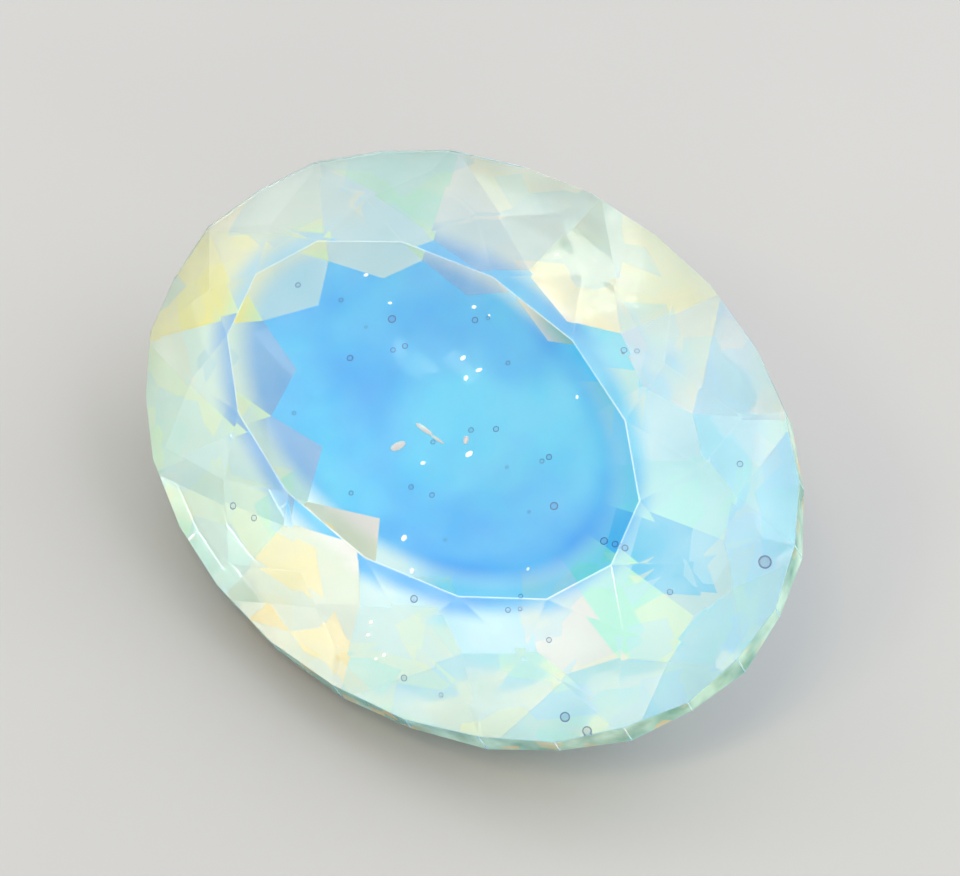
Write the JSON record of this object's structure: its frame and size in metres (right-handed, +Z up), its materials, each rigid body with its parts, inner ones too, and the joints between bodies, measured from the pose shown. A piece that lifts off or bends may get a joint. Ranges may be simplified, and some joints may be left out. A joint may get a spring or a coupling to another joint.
{
  "type": "oval cut opal",
  "caption": "Loose oval gemstone with a flat table, faceted crown, thin girdle and pointed faceted pavilion, lying on one pavilion facet.",
  "frame": {"origin": "on the surface the stone lies on, under the middle of its bounding box", "axes": "+X along the stone's length, +Z up, and the table faces up and leans towards -Y"},
  "size_m": [0.0138, 0.0088, 0.0059],
  "materials": {
    "opal": "polished facets, milky translucent, blue by reflected light and warm cream by transmitted light"
  },
  "bodies": {
    "root": {"cut_opal": "opal"}
  },
  "joints": []
}
